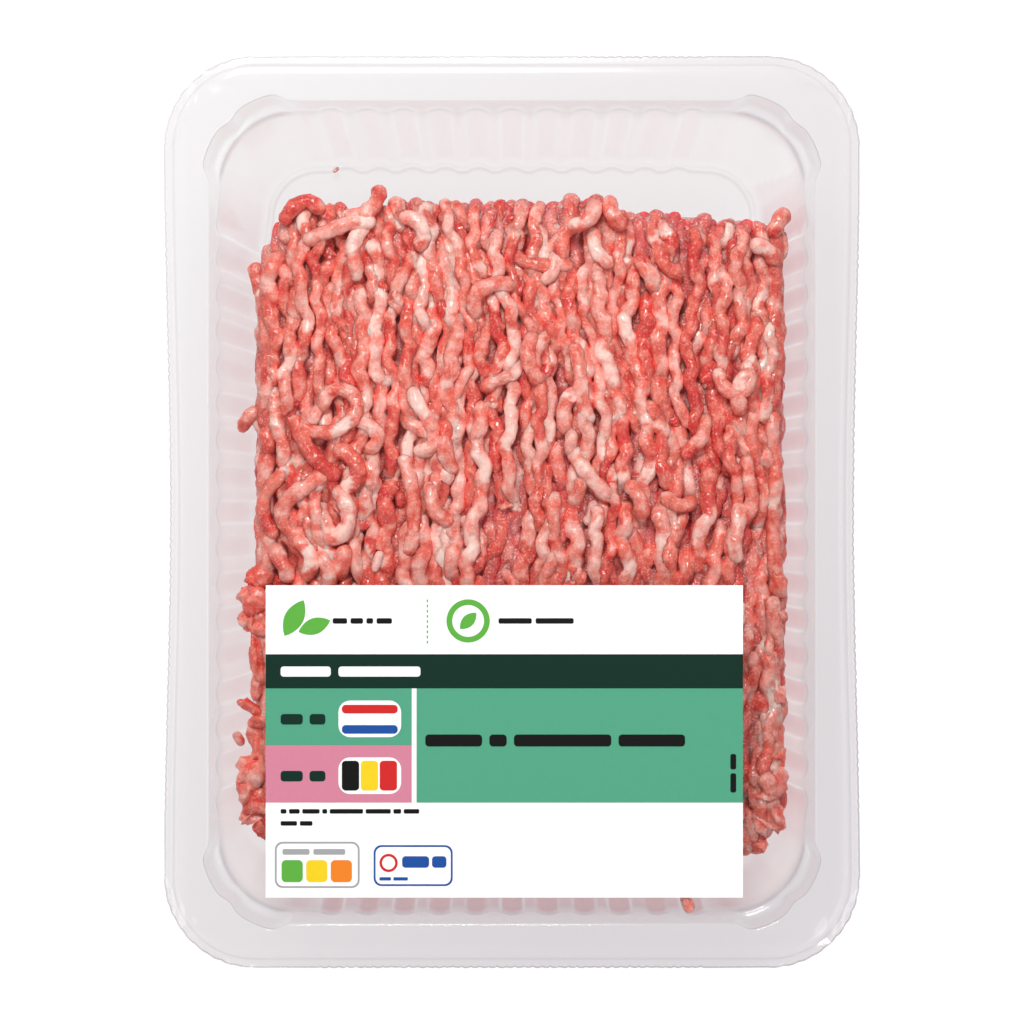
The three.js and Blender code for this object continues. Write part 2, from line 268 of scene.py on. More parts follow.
# From the middle: the raised panel, its step down, the foot, the fluted wall, the shelf under
# the film with the corner recesses, the rim, and the flange with its stepped lip
rings = [tub_ring(21 + 13 * k, 1.55) for k in (2, 1.1, 0.5, 0.05)]
rings += [tub_ring(20.2, 1.45), tub_ring(19.8, 1.1), tub_ring(19.5, 0.6), tub_ring(19.1, 0.36)]
rings += [tub_ring(18.6, 0.355), tub_ring(12.6, 0.352)]
for k in range(9):
    foot = np.radians(10 * k)
    rise, away = 3.2 * (1 - np.cos(foot)), 3.2 * (1 - np.sin(foot))
    depth = flute_depth * min(1, k / 3)
    rings.append(tub_ring(wall_inset(rise) + 0.35 + away, 0.35 + rise, depth))
for z in np.linspace(5, 40.6, 15):
    fade = np.clip((45 - z) / 6, 0, 1)
    rings.append(tub_ring(wall_inset(z) + 0.35, z, flute_depth * smooth(fade)))
for z, bulge, fade in ((40.9, 0.7, 0.75), (41.0, 1.75, 0.73), (42.5, 1.95, 0.4), (45.5, 1.95, 0.05)):
    rings.append(tub_ring(wall_inset(z) + 0.35, z, flute_depth * fade, bulge))
for k in range(6):
    turn = np.radians(18 * k)
    inset = 0.3 - 0.9 * (1 - np.cos(turn))
    rings.append(tub_ring(inset, 46.8 + 0.9 * np.sin(turn), 0, 1.95 - 0.1 * k))
rings += [flange_ring(i, z) for i, z in ((5.6, 47.71), (4.6, 47.7), (2.9, 47.7), (2.5, 47.55))]
rings += [flange_ring(i, z) for i, z in ((2.1, 46.9), (1.7, 46.62), (1.2, 46.55), (0.35, 46.55))]
rings += [flange_ring(i, z) for i, z in ((0.05, 46.4), (0, 46.1), (0.05, 45.9), (0.3, 45.9))]

# The lip's edge is finely notched where the tray was cut from its sheet
count = len(rings[0])
notch = np.random.default_rng(3).random(count)
for ring in rings[-5:]:
    away = ring[:, :2] / np.linalg.norm(ring[:, :2], axis=1)[:, None]
    ring[:, :2] -= away * (0.16 * (np.arange(count) % 3 == 0) + 0.12 * notch)[:, None]


def lofted_quads(rows, count):
    """Quads between neighbouring rings of count points each."""
    row, place = np.meshgrid(np.arange(rows - 1), np.arange(count), indexing="ij")
    a = row * count + place
    b = row * count + (place + 1) % count
    return np.stack([a, b, b + count, a + count], -1).reshape(-1, 4)


def lid_quads(count):
    """Quads in a strip across a ring of an even count of points."""
    k = np.arange(count // 2 - 1)
    return np.stack([k, k + 1, count - 2 - k, count - 1 - k], -1)


tray_points = np.concatenate(rings)[:, :3]
flute_share, corner_share = np.concatenate(rings)[:, 3], np.concatenate(rings)[:, 4]
tray_quads = np.concatenate([lofted_quads(len(rings), count), lid_quads(count)])

# The plastic is thick at the rim and flange. Painted shade darkens it more at the right and the
# near side, and a painted shadow where the label shades it. The wall has a painted pink
# reflection of the meat beside it, left out in painted highlight lines at the flutes' edges.
# The foot, the recesses' edges and the lip's step are thin lines of painted shade, and the lip
# is dull.
x, y, z = tray_points.T
wall_share = np.clip((41 - z) / 5, 0, 1)
# Painted shade to the right and near side, and the label's painted shadow, added to the thickness
thickness_and_painted_shade = np.clip((z - 35) / 5, 0, 1) * np.clip(0.68 + 0.26 * x / tray_x - 0.28 * y / tray_y, 0, 1)
painted_label_shadow = np.clip((-72 - y) / 6, 0, 1) * np.clip((56 - np.abs(x)) / 8, 0, 1) * wall_share
thickness_and_painted_shade = thickness_and_painted_shade + 0.8 * painted_label_shadow
# Painted pink reflection of the meat on the wall, cut by painted highlight lines at flute edges
painted_meat_reflection = np.clip((z - 2) / 4, 0, 1) * wall_share * (0.6 + 0.4 * flute_share)
painted_meat_reflection = painted_meat_reflection * np.where(y > 72, 0.2, 0.7 + 0.28 * x / 60 + 0.5 * painted_label_shadow) * (1 - 0.5 * corner_share)
painted_meat_reflection = painted_meat_reflection * (1 - 0.9 * np.exp(-(((flute_share - 0.27) / 0.15) ** 2)))
dull = np.clip((np.maximum(np.abs(x) - 67.5, np.abs(y) - 90) + 2) / 2, 0, 1)
into_corner = np.hypot(np.maximum(0, np.abs(x) - 53), np.maximum(0, np.abs(y) - 76))
dull = np.maximum(dull, np.clip((into_corner - 14) / 2, 0, 1))
# Painted shade: thin grey lines at the foot, the recesses' edges and the lip's step
painted_fold_shade = np.zeros(len(z))
for height_of, plain, cornered, fluted in (
    (40.6, 0.1, 0.7, 0.35), (47.33, 0.15, 0.85, 0), (46.9, 0.3, 0, 0), (0.78, 0.4, 0, 0),
):
    line = np.abs(z - z[np.argmin(np.abs(z - height_of))]) < 0.01
    painted_fold_shade[line] = plain + cornered * corner_share[line] + fluted * flute_share[line]
tray_look = clear_look("tray plastic", (0.9, 0.888, 0.895), (0.72, 0.685, 0.71), 0.11, 0.11, 0.12)
quad_piece(
    "tray_shell", tray_points, tray_quads, tray_look, "tray",
    {"thick_and_painted_shade": thickness_and_painted_shade, "painted_meat_reflection": painted_meat_reflection, "painted_fold_shade": painted_fold_shade, "dull": dull},
)


# Lidding film: a thin clear sheet sealed on the flange and cut with it. It is almost flat, and
# crumpled a little along its cut edge at the corners.
film_insets = np.array((0.4, 0.9, 1.4, 1.9, 2.4, 2.9, 3.6, 5, 7, 9.5, 13, 18, 25, 34, 46, 60))
film_rings = []
for inset in film_insets:
    ring = flange_ring(0, 48.18)
    ring[:, 0] *= 1 - inset / tray_x
    ring[:, 1] *= 1 - inset / tray_y * (1 if inset < 20 else 1.1)
    film_rings.append(ring[:, :3])
film_points = np.stack(film_rings)
x, y = film_points[..., 0], film_points[..., 1]
near_corner = np.clip((27 - np.hypot(tray_x - np.abs(x), tray_y - np.abs(y))) / 12, 0, 1)
edge = np.exp(-((film_insets / 3.0) ** 2))[:, None]
along = np.sign(y) * x - np.sign(x) * y
crumple = np.sin(1.4 * film_insets[:, None] + 1.6 * np.sin(0.3 * along + 1))
crumple = crumple + 0.25 * np.sin(0.8 * along)
film_points[..., 2] += np.clip(0.55 * crumple * near_corner * edge, -0.5, 0.5)
film_points[..., 2] += 0.03 * np.sin(0.11 * x + 0.4) * np.sin(0.09 * y)
film_lid = lid_quads(count) + (len(film_rings) - 1) * count
film_quads = np.concatenate([lofted_quads(len(film_rings), count), film_lid])
film_tint = (0.985, 0.985, 0.985)
film_look = clear_look("lidding film", film_tint, film_tint, 0.004, 0.5, 0.14)
quad_piece("film_sheet", film_points.reshape(-1, 3), film_quads, film_look, "film")


# Label: a coated paper plate stuck on the film, with its print as flat shapes laid on it: fields
# of colour, and plain bars and leaves in place of words and pictures. Millimetres from its
# middle.
label_at = np.array([-1.6, -47.6])
label_top = 48.55
white, ink, band = (0.86, 0.86, 0.86), (0.005, 0.005, 0.005), (0.0035, 0.024, 0.016)
green, pink, leaf_green = (0.076, 0.32, 0.2), (0.57, 0.2, 0.285), (0.1, 0.37, 0.05)
grey, red, blue, yellow = (0.33, 0.33, 0.34), (0.55, 0.02, 0.02), (0.012, 0.07, 0.3), (0.78, 0.55, 0.015)
shapes = []


def patch(points, colour, level):
    """One flat polygon of print; a higher level lies on the ones below."""
    shapes.append((np.asarray(points, dtype=float), colour, level))


def box(left, right, low, high, colour, level, radius=0.0):
    """An upright rectangle of print, with round corners where radius is given."""
    if radius == 0:
        patch([(left, low), (right, low), (right, high), (left, high)], colour, level)
        return
    centres = (
        (right - radius, low + radius), (right - radius, high - radius),
        (left + radius, high - radius), (left + radius, low + radius),
    )
    points = []
    for k, (cx, cy) in enumerate(centres):
        for step in range(7):
            turn = np.radians(-90 + 90 * k + 15 * step)
            points.append((cx + radius * np.cos(turn), cy + radius * np.sin(turn)))
    patch(points, colour, level)


def words(left, middle, tall, lengths, colour, level, gap=1.0):
    """Plain bars in place of words, one bar for each."""
    for length in lengths:
        box(left, left + length, middle - tall / 2, middle + tall / 2, colour, level, tall * 0.3)
        left += length + gap


def ring_band(cx, cy, outer, inner, colour, level):
    """A flat ring of short four-sided pieces."""
    turns = np.radians(10 * np.arange(37))
    for a, b in zip(turns[:-1], turns[1:]):
        patch(
            [
                (cx + inner * np.cos(a), cy + inner * np.sin(a)),
                (cx + outer * np.cos(a), cy + outer * np.sin(a)),
                (cx + outer * np.cos(b), cy + outer * np.sin(b)),
                (cx + inner * np.cos(b), cy + inner * np.sin(b)),
            ],
            colour,
            level,
        )


def leaf(cx, cy, length, width, lean, colour, level):
    """A pointed leaf that leans at an angle in degrees, half as wide at each place as a sine to
    the power 0.8."""
    share = np.linspace(0, 1, 13)
    bulge = width / 2 * np.sin(np.pi * share) ** 0.8
    outline = np.stack([length * (share - 0.5), bulge], 1)
    outline = np.concatenate([outline, -outline[1:-1]])
    turn = np.radians(lean)
    spin = np.array([[np.cos(turn), -np.sin(turn)], [np.sin(turn), np.cos(turn)]])
    patch(outline @ spin.T + (cx, cy), colour, level)


# Fields of colour from edge to edge
half_w = 49.5
box(-half_w, half_w, 11.0, 18.1, band, 1)
box(-half_w, -19.2, -0.8, 11.0, green, 1)
box(-half_w, -19.2, -12.7, -0.8, pink, 1)
box(-18.2, half_w, -12.7, 11.0, green, 1)

# Top row: two leaves, a dashed line, a ring with a leaf, and words
leaf(-43.6, 25.6, 8.4, 4.0, 62, leaf_green, 1)
leaf(-39.4, 23.9, 7.0, 3.4, 20, leaf_green, 1)
words(-35.6, 25.0, 1.15, (3.0, 2.6, 1.4, 3.2), ink, 1, 0.7)
for k in range(9):
    box(-16.1, -15.8, 20.3 + 1.07 * k, 20.9 + 1.07 * k, leaf_green, 1)
ring_band(-7.5, 25.0, 4.5, 3.3, leaf_green, 1)
leaf(-7.5, 25.0, 4.8, 2.5, 45, leaf_green, 1)
words(-1.2, 25.0, 1.15, (6.9, 7.9), ink, 1, 0.8)

# Fields: words, and two white plates with three bars of colour, lying and standing
words(-46.4, 14.5, 2.1, (10.4, 17.0), white, 2, 1.6)
words(-46.4, 4.6, 2.2, (4.6, 3.3), band, 2, 1.4)
words(-46.4, -7.2, 2.2, (4.6, 3.3), band, 2, 1.4)
box(-34.4, -21.4, 0.9, 8.5, white, 2, 2.4)
for k, colour in enumerate((blue, white, red)):
    box(-33.7, -22.1, 1.6 + 2.1 * k, 3.4 + 2.1 * k, colour, 3, 0.8)
box(-34.4, -21.4, -10.9, -3.3, white, 2, 2.4)
for k, colour in enumerate((ink, yellow, red)):
    box(-33.7 + 3.93 * k, -30.1 + 3.93 * k, -10.2, -4.0, colour, 3, 0.8)
words(-16.4, 0.2, 2.5, (11.8, 3.6, 20.2, 13.8), ink, 2, 1.5)
for k, length in enumerate((4.0, 3.2)):
    box(46.9, 48.1, -10.6 + 4.8 * k, -10.6 + 4.8 * k + length, ink, 2, 0.4)

# Small words, and two framed plates: three squares of colour, and a ring with bars
words(-46.4, -14.5, 0.95, (1.2, 2.2, 3.6, 1.0, 6.9, 5.2, 1.6, 3.2), ink, 1, 0.55)
words(-46.4, -17.0, 0.95, (3.4, 2.6), ink, 1, 0.6)
box(-47.6, -30.0, -30.4, -20.8, grey, 1, 1.6)
box(-47.2, -30.4, -30.0, -21.2, white, 2, 1.3)
words(-46.0, -22.9, 1.2, (5.6, 6.6), grey, 3, 0.8)
for k, colour in enumerate((leaf_green, yellow, (0.75, 0.2, 0.02))):
    box(-46.2 + 5.1 * k, -41.8 + 5.1 * k, -29.2, -24.6, colour, 3, 0.9)
box(-27.1, -10.7, -30.0, -21.5, blue, 1, 1.6)
box(-26.7, -11.1, -29.6, -21.9, white, 2, 1.3)
ring_band(-24.0, -25.2, 1.9, 1.35, red, 3)
words(-21.2, -25.0, 2.4, (5.6, 3.0), blue, 3, 0.6)
words(-25.9, -28.5, 0.7, (2.4, 3.0), blue, 3, 0.5)

print_points, print_faces, print_colours = [], [], []
for points, colour, level in shapes:
    print_faces.append(list(range(len(print_points), len(print_points) + len(points))))
    print_points += [(x, y, label_top + 0.012 * level) for x, y in points + label_at]
    print_colours += [(*colour, 1)] * len(points)
label_mesh = bpy.data.meshes.new("label_print")
label_mesh.from_pydata((np.array(print_points) * 0.001).tolist(), [], print_faces)
label_mesh.attributes.new("ink", "FLOAT_COLOR", "POINT").data.foreach_set(
    "color", np.array(print_colours, dtype=np.float32).ravel()
)


def paper_look(name, printed):
    """Coated paper with a faint fibre grain, in one white or in the print's colours."""
    look = bpy.data.materials.new(name)
    look.use_nodes = True
    tree = look.node_tree
    place = add_node(tree, "TexCoord", {}).outputs["Object"]
    fibres = add_node(tree, "TexNoise", {"Vector": place, "Scale": 900, "Detail": 3}).outputs["Fac"]
    bump = add_node(tree, "Bump", {"Strength": 0.06, "Distance": 0.0002, "Height": fibres})
    colour = (*white, 1)
    if printed:
        colour = add_node(tree, "Attribute", {}, attribute_name="ink").outputs["Color"]
    feed(tree, tree.nodes["Principled BSDF"], {
        "Base Color": mixed(tree, 0.05, colour, fibres, "MULTIPLY"),
        "Roughness": 0.5,
        "Specular IOR Level": 0.12,
        "Normal": bump.outputs["Normal"],
    })
    return look


label_mesh.materials.append(paper_look("label print", True))
label_print = bpy.data.objects.new("label_print", label_mesh)
bpy.context.collection.objects.link(label_print)
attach(label_print, "root")
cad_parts["label"].data.materials[0] = paper_look("label paper", False)


# Mince: beef and pork pressed through a plate with holes, so that it lies in soft strands along
# Y, with curls and torn bits on top. Here it is a dark core under layers of single strands.
# Millimetres; the block's limits are the solid's.
left, right, far, near = -54.8, 58.4, 68.7, -76.0
floor_z = 1.95
rng = np.random.default_rng(11)


def top_height(x, y):
    """Height of the heap's top: the solid's swells, higher at the tangle, lower at the edges."""
    u = (2 * x - left - right) / (right - left)
    v = (2 * y - far - near) / (far - near)
    edge = np.maximum(0, np.abs(u) - 0.75) / 0.25
    end = np.maximum(0, np.abs(v) - 0.88) / 0.12
    tangle = np.exp(-(((x + 38) / 12) ** 2 + ((y - 6) / 20) ** 2))
    swell = 0.9 * np.sin(2.6 * u + 1.1) * np.cos(3.1 * v + 0.4)
    return 33.5 + swell + 1.4 * tangle - 3.4 * edge**2 - 2 * end**2


def room_at(z):
    """How far out the mince reaches at a height before it meets the tray's long wall."""
    return rim_x - wall_inset(z) - 1.0 - 0.75 * np.maximum(0, 4.2 - z)


def ragged(x):
    """How far the heap's far end stands out or falls back at x."""
    places = (-55, -53.2, -50.5, -48, -44, -33, -23, 8, 17, 23, 50, 58)
    return np.interp(x, places, (-14, -10, -4, -1, 0, -3, -0.4, -1, 0.4, -3.2, -4.2, -3))


def span_at(x, low=0.0):
    """Where the block starts and ends along Y at x, shorter at its round corners."""
    into = np.clip(1 - np.minimum(x - left, right - x) / 16, 0, 1)
    cut = 16 * (1 - np.sqrt(1 - into**2))
    return far + ragged(x) - np.where(x < 0, 0.5, 0.3) * cut - low, near + cut + low


def closed_quads(rows, count):
    """Quads between neighbouring rings, with a lid at the first ring and at the last."""
    lid = lid_quads(count)
    return np.concatenate([lofted_quads(rows, count), lid[:, ::-1], lid + (rows - 1) * count])


def strand(path, radius, sides, fat, squash=0.9, rough=0.09):
    """Points, quads, fat share and share of underside of one strand with round ends on a path.

    Its section is an ellipse, squash as tall as it is wide. Its radius is multiplied by one plus
    rough times five sines of the place along and round it, so that it looks pressed and torn,
    and shrinks at each end as a half ball does. The fat share changes in slanting patches."""
    path = np.asarray(path, dtype=float)
    step = np.linalg.norm(np.diff(path, axis=0), axis=1)
    along = np.concatenate([[0], np.cumsum(step)])
    length = along[-1]
    cap = min(radius, length / 3)
    spacing = 0.72 if sides > 9 else 1.05
    inner = np.linspace(cap, length - cap, max(2, int((length - 2 * cap) / spacing)))
    ends = cap * np.array([0, 0.06, 0.25, 0.58])
    place = np.concatenate([ends, inner, length - ends[::-1]])
    centre = np.stack([np.interp(place, along, path[:, k]) for k in range(3)], 1)
    tangent = np.gradient(centre, axis=0)
    tangent /= np.linalg.norm(tangent, axis=1)[:, None] + 1e-9
    side = np.cross((0, 0, 1.0), tangent)
    weak = np.linalg.norm(side, axis=1) < 0.25
    side[weak] = np.cross(tangent[weak], (1.0, 0, 0))
    for k in range(1, len(side)):
        if side[k] @ side[k - 1] < 0:
            side[k] = -side[k]
    side /= np.linalg.norm(side, axis=1)[:, None]
    up = np.cross(tangent, side)
    away = np.minimum(place, length - place) / cap
    taper = np.sqrt(np.clip(1 - (1 - np.clip(away, 0, 1)) ** 2, 0.012, 1))
    phase = rng.uniform(0, 6.28, 8)
    turn = np.linspace(0, 2 * np.pi, sides, endpoint=False)
    s, a = place[:, None], turn[None, :]
    lumps = np.sin(s * 1.05 + phase[0]) * 0.75 + np.sin(s * 2.1 + phase[1] + a) * 0.55
    lumps = lumps + np.sin(s * 0.47 + phase[2] - a) * 0.6 + 0.4 * np.sin(s * 3.9 + phase[3] + 2 * a)
    lumps = lumps + 0.35 * np.sin(s * 6.3 + phase[7] - 2 * a)
    size = radius * taper[:, None] * (1 + rough * lumps)
    wide = size * np.cos(a + phase[4] * 0.1)
    tall = size * np.sin(a + phase[4] * 0.1) * squash
    points = centre[:, None] + side[:, None] * wide[..., None] + up[:, None] * tall[..., None]
    knots = np.cumsum(rng.uniform(1.0, 5.5, int(length / 2) + 4)) - rng.uniform(0, 4)
    changes, chances = (-0.26, -0.1, 0, 0.1, 0.26, 0.48), (0.1, 0.21, 0.33, 0.2, 0.11, 0.05)
    change = rng.choice(changes, len(knots) + 1, p=chances)
    slanted = s + 1.3 * np.sin(a + phase[5]) + 0.7 * np.sin(2 * a + s + phase[6])
    streak = fat + change[np.searchsorted(knots, slanted)] + 0.04 * lumps
    # The underside of the section takes painted shade in the meat's look
    under = np.clip(0.45 - np.sin(a + phase[4] * 0.1), 0, 1) + 0 * s
    quads = closed_quads(len(place), sides)
    return points.reshape(-1, 3), quads, np.clip(streak, 0, 1).ravel(), under.ravel()


def lump(at, size, stretch, heading, fat):
    """Points, quads, fat share and share of underside of one torn lump.

    It is a ball whose radius takes five sharp ridges or folds, each half less the size of a sine
    of the place along a random direction, stretched along its axes and turned to a heading."""
    rows, sides = 15, 22
    tilt = np.linspace(np.pi - 0.1, 0.1, rows)[:, None]
    turn = np.linspace(0, 2 * np.pi, sides, endpoint=False)[None, :]
    wide = np.sin(tilt)
    ball = np.stack([wide * np.cos(turn), wide * np.sin(turn), np.cos(tilt) + 0 * turn], -1)
    reach = 1 + np.zeros(ball.shape[:2])
    for high, fold in ((0.42, 1.7), (-0.3, 2.6), (0.26, 3.9), (-0.18, 5.5), (0.12, 8.0)):
        reach += high * (0.5 - np.abs(np.sin(ball @ rng.normal(0, fold * 0.6, 3) + rng.uniform(0, 6))))
    points = size * reach[..., None] * ball * np.array(stretch)
    along, across = np.cos(np.radians(heading)), np.sin(np.radians(heading))
    turned = np.array([(along, across, 0), (-across, along, 0), (0, 0, 1)])
    points = (points @ turned).reshape(-1, 3) + at
    streak = fat + 0.35 * (reach - 1)
    # The underside and the dents take painted shade in the meat's look
    under = np.clip(0.1 - ball[..., 2], 0, 1) + np.clip(0.9 - reach, 0, 0.5)
    return points, closed_quads(rows, sides), np.clip(streak, 0, 1).ravel(), under.ravel()


def walk(start, heading, length, turns, step=0.8):
    """Flat path from a start in even steps, heading in degrees and turning evenly by each of
    turns over its share of the length."""
    count = max(6, int(length / step))
    share = (np.arange(count) + 0.5) / count
    knots = np.concatenate([[0], np.cumsum(turns)])
    angle = np.radians(heading + np.interp(share, np.linspace(0, 1, len(knots)), knots))
    moves = np.stack([np.cos(angle), np.sin(angle)], 1) * length / count
    return np.concatenate([[start], start + np.cumsum(moves, axis=0)])


def gather(name, parts, look, sunk=1.0):
    """One piece from many strands, kept inside the tray and above its floor. sunk says how far
    points well below the heap's top, and the strands' undersides, take painted shade: the darker
    tones of its gaps."""
    points = np.concatenate([p[0] for p in parts])
    shift = np.cumsum([0] + [len(p[0]) for p in parts[:-1]])
    quads = np.concatenate([p[1] + k for p, k in zip(parts, shift)])
    fat = np.concatenate([p[2] for p in parts])
    under = np.concatenate([p[3] for p in parts])
    # Depth below the heap's top, and the underside, set how much painted shade a point takes
    deep = np.clip((top_height(points[:, 0], points[:, 1]) - points[:, 2] - 0.9) / 4.5, 0, 1)
    deep = np.clip(sunk * (deep + 0.3 * under), 0, 1)
    points[:, 2] = np.maximum(points[:, 2], floor_z)
    limit = room_at(points[:, 2]) + 0.25
    points[:, 0] = np.clip(points[:, 0], -limit, limit)
    numbers = {"fat": fat, "deep": deep, "side": min(1, 3 * sunk) * under}
    quad_piece(name, points, quads, look, numbers=numbers)


def meat_look(name, lean, mid, fat, gloss):
    """Raw minced meat: lean red, mid and fat tones by the fat share plus noise, painted shade as a
    full red on the flanks and as mauve then dark red in its sunken parts, pale specks that are
    partly painted sparkle, and a wet coat that fades in the gaps. Light goes a little way into it."""
    look = bpy.data.materials.new(name)
    look.use_nodes = True
    tree = look.node_tree
    place = add_node(tree, "TexCoord", {}).outputs["Object"]

    def noise(scale, detail):
        """Noise with so many features a metre."""
        inputs = {"Vector": place, "Scale": scale, "Detail": detail}
        return add_node(tree, "TexNoise", inputs).outputs["Fac"]

    def maths(operation, a, b):
        """One sum on two numbers."""
        return add_node(tree, "Math", {0: a, 1: b}, operation=operation).outputs["Value"]

    def mapped(value, low, high, start=0, stop=1):
        """A number that goes from low to high as the value goes from start to stop."""
        inputs = {"Value": value, "From Min": start, "From Max": stop, "To Min": low, "To Max": high}
        return add_node(tree, "MapRange", inputs).outputs["Result"]

    def ramp(value, stops):
        """Colour and alpha for a value, from stops of place and colour."""
        node = add_node(tree, "ValToRGB", {"Fac": value})
        first, last = node.color_ramp.elements
        first.position, first.color = stops[0]
        last.position, last.color = stops[-1]
        for position, colour in stops[1:-1]:
            node.color_ramp.elements.new(position).color = colour
        return node.outputs

    # Tone by fat share, then painted shade on the flanks and in sunken parts, then pale specks
    # with painted sparkle, one over the other
    deep, side = number_at(tree, "deep"), number_at(tree, "side")
    grain = noise(2300, 0)
    greys = ((0.0, 0.42), (0.3, 1.0), (1.0, 0.3))
    rawness = ramp(deep, [(at, (grey, grey, grey, 1)) for at, grey in greys])["Color"]
    blotch = maths("MULTIPLY", maths("SUBTRACT", noise(420, 1), 0.5), 0.95)
    fleck = maths("MULTIPLY", maths("MULTIPLY", maths("SUBTRACT", grain, 0.5), 0.5), rawness)
    total = maths("ADD", maths("ADD", number_at(tree, "fat"), blotch), fleck)
    half_fat = [0.5 * m + 0.5 * f for m, f in zip(mid, fat)]
    tones = ((0.08, lean), (0.4, mid), (0.72, half_fat), (1.0, fat))
    colour = ramp(total, [(at, (*tone, 1)) for at, tone in tones])["Color"]
    # Painted shade: the flanks and undersides turn a full red
    painted_flank_shade = maths("MINIMUM", maths("MULTIPLY", side, 1.6), 0.92)
    colour = mixed(tree, painted_flank_shade, colour, (0.7, 0.02, 0.018, 1))
    # Painted shade: mauve, then dark red, the deeper a point lies below the heap's top
    painted_depth_shade = ramp(deep, (
        (0.0, (0.72, 0.12, 0.09, 0)),
        (0.16, (0.72, 0.12, 0.09, 0.25)),
        (0.4, (0.6, 0.14, 0.145, 0.65)),
        (0.75, (0.8, 0.016, 0.02, 0.93)),
        (1.0, (0.76, 0.006, 0.009, 0.97)),
    ))
    colour = mixed(tree, painted_depth_shade["Alpha"], colour, painted_depth_shade["Color"])
    # Pale specks, partly real fat and partly painted sparkle
    specks_and_painted_sparkle = maths("MULTIPLY", mapped(grain, 0, 0.45, 0.62, 0.74), rawness)
    colour = mixed(tree, specks_and_painted_sparkle, colour, (0.97, 0.72, 0.66, 1))

    # Wet coat on the open parts, and a fine relief of dents and pores
    open_share = maths("SUBTRACT", 1, maths("MULTIPLY", deep, 0.9))
    open_share = maths("MAXIMUM", maths("SUBTRACT", open_share, maths("MULTIPLY", side, 0.8)), 0)
    dents, pores = maths("MULTIPLY", noise(700, 0), 0.5), maths("MULTIPLY", grain, 0.32)
    height = maths("ADD", dents, maths("MULTIPLY", pores, rawness))
    bump = add_node(tree, "Bump", {"Strength": 0.7, "Distance": 0.001, "Height": height})
    shader = tree.nodes["Principled BSDF"]
    shader.subsurface_method = "BURLEY"
    feed(tree, shader, {
        "Base Color": colour,
        "Roughness": mapped(grain, 0.25, 0.5),
        "Specular IOR Level": 0.2,
        "Subsurface Weight": 1.0,
        "Subsurface Radius": (1.9, 0.35, 0.25),
        "Subsurface Scale": 0.0009,
        "Coat Weight": maths("MULTIPLY", open_share, gloss),
        "Coat Roughness": 0.08,
        "Normal": bump.outputs["Normal"],
        "Coat Normal": bump.outputs["Normal"],
    })
    return look


meat = meat_look("mince strands", (0.58, 0.04, 0.032), (0.72, 0.15, 0.105), (0.88, 0.61, 0.54), 0.6)
# The core's darker tones are painted shade for the gaps between the strands
core_meat_in_painted_shade = meat_look("mince core", (0.5, 0.03, 0.03), (0.6, 0.06, 0.05), (0.7, 0.2, 0.16), 0.3)

# Core: the inside of the heap, shown only between the strands in the dark tones of painted shade.
# Rings of a fifth-power rounded box go up its sides and close over the top, 4.6 under the heap's height.
core_rings = []
around = np.linspace(0, 2 * np.pi, 181)[:-1]
box_x, box_y = np.cos(around), np.sin(around)
power = (np.abs(box_x) ** 5 + np.abs(box_y) ** 5) ** (-1 / 5)
box_x, box_y = box_x * power, box_y * power
mid_x, mid_y = (left + right) / 2, (far + near) / 2
half_x, half_y = (right - left) / 2, (far - near) / 2
for z, inset in ((2.2, 9), (2.3, 7.5), (6, 5.8), (12, 4.8), (20, 3.6), (26, 3.2), (29, 3.6)):
    x, y = mid_x + (half_x - inset) * box_x, mid_y + (half_y - inset) * box_y
    core_rings.append(np.stack([x, y, 0 * x + z], 1))
for inset in (4.4, 6, 9, 14, 20, 27, 34, 42, 49, 54):
    x = mid_x + (half_x - inset) * box_x
    y = mid_y + (half_y - inset * half_y / half_x) * box_y
    z = np.minimum(top_height(x, y) - 4.6, 28 + (inset - 3.6) * 1.2)
    core_rings.append(np.stack([x, y, z + 0.3 * np.sin(1.3 * x) * np.sin(0.9 * y)], 1))
core_points = np.concatenate(core_rings)
core_points[:, 1] += ragged(core_points[:, 0]) * np.clip(core_points[:, 1] / 50, 0, 1)
core_quads = closed_quads(len(core_rings), len(around))
core_fat = 0.3 + 0.25 * np.sin(1.1 * core_points[:, 0]) * np.sin(0.23 * core_points[:, 1])
# Painted shade: darker meat tones and a depth share of 0.9 all over the core
quad_piece(
    "mince_core", core_points, core_quads, core_meat_in_painted_shade, "mince",
    {"fat": core_fat, "deep": 0 * core_fat + 0.9, "side": 0 * core_fat},
)


def laid_strand(x, start, stop, sink, radius, hook, fat):
    """A strand along Y from start to stop, sink below the heap's top.

    It sways with its neighbours by two long sines and on its own by three short ones, and rises
    and falls by three more. hook turns its ends aside, and it dives 2 at each end, both as bell
    curves."""
    length = start - stop
    count = max(8, int(length / 0.9))
    share = np.linspace(0, 1, count)
    y = start + (stop - start) * share
    p = rng.uniform(0, 6.28, 6)
    sway = 1.6 * np.sin(0.075 * y + 0.04 * x) + 0.9 * np.sin(0.16 * y + 0.11 * x + 2)
    own = 0.5 * np.sin(0.33 * y + p[0]) + 0.48 * np.sin(0.74 * y + p[1]) + 0.22 * np.sin(1.4 * y + p[2])
    inside = np.clip(np.minimum(x - left, right - x) / 10, 0, 1)
    xs = x + inside * sway + own
    ends = np.exp(-((share * length / 2.6) ** 2)), np.exp(-(((1 - share) * length / 2.6) ** 2))
    xs = xs + hook[0] * ends[0] + hook[1] * ends[1]
    rise = 0.55 * np.sin(0.21 * y + p[3]) + 0.4 * np.sin(0.52 * y + p[4]) + 0.2 * np.sin(1.2 * y + p[5])
    z = top_height(xs, y) - radius - sink + rise - 2.0 * (ends[0] + ends[1])
    return strand(np.stack([xs, y, z], 1), radius, 12, fat)


